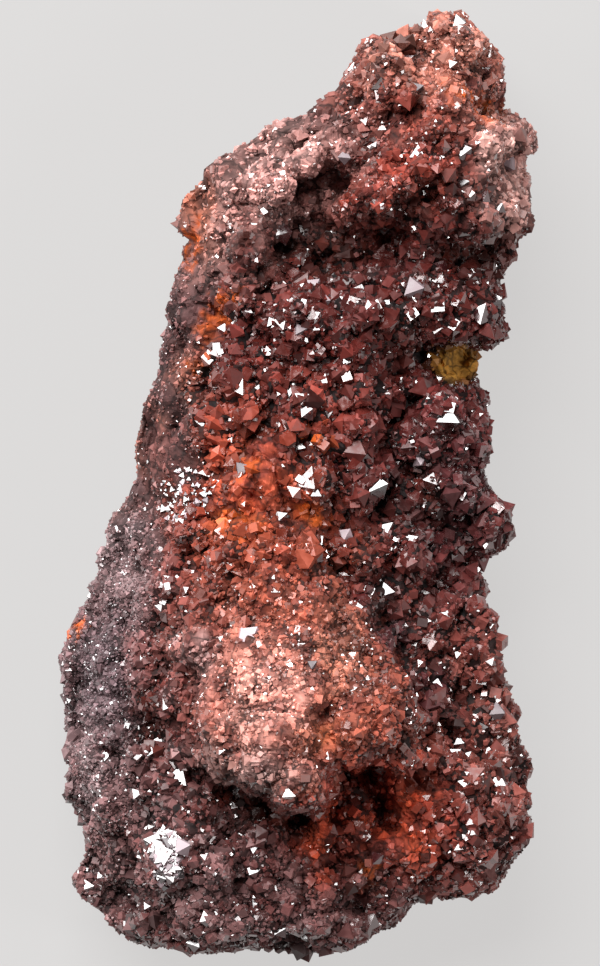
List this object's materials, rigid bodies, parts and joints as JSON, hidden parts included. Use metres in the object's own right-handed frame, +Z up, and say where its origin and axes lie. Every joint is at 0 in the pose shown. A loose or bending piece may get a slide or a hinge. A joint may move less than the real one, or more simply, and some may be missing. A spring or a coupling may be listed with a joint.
{
  "type": "cuprite specimen",
  "caption": "Rough elongated lump of ore covered all over in small dark red octahedral crystals, for display; it lies on its flat broken back.",
  "frame": {"origin": "centre of the underside of the object's box, on the surface that it lies on", "axes": "+Y along the lump from its wide foot to its narrow tip, +Z up out of the crystal-covered front, +X to the right seen from the front with the tip up"},
  "size_m": [0.0237, 0.0476, 0.018],
  "materials": {
    "cuprite": "dark red crystals with glinting flat faces under a dull dusty film",
    "matrix": "dull iron-stained ore, rust red to ochre"
  },
  "bodies": {
    "root": {"cuprite_specimen": "cuprite"}
  },
  "joints": []
}
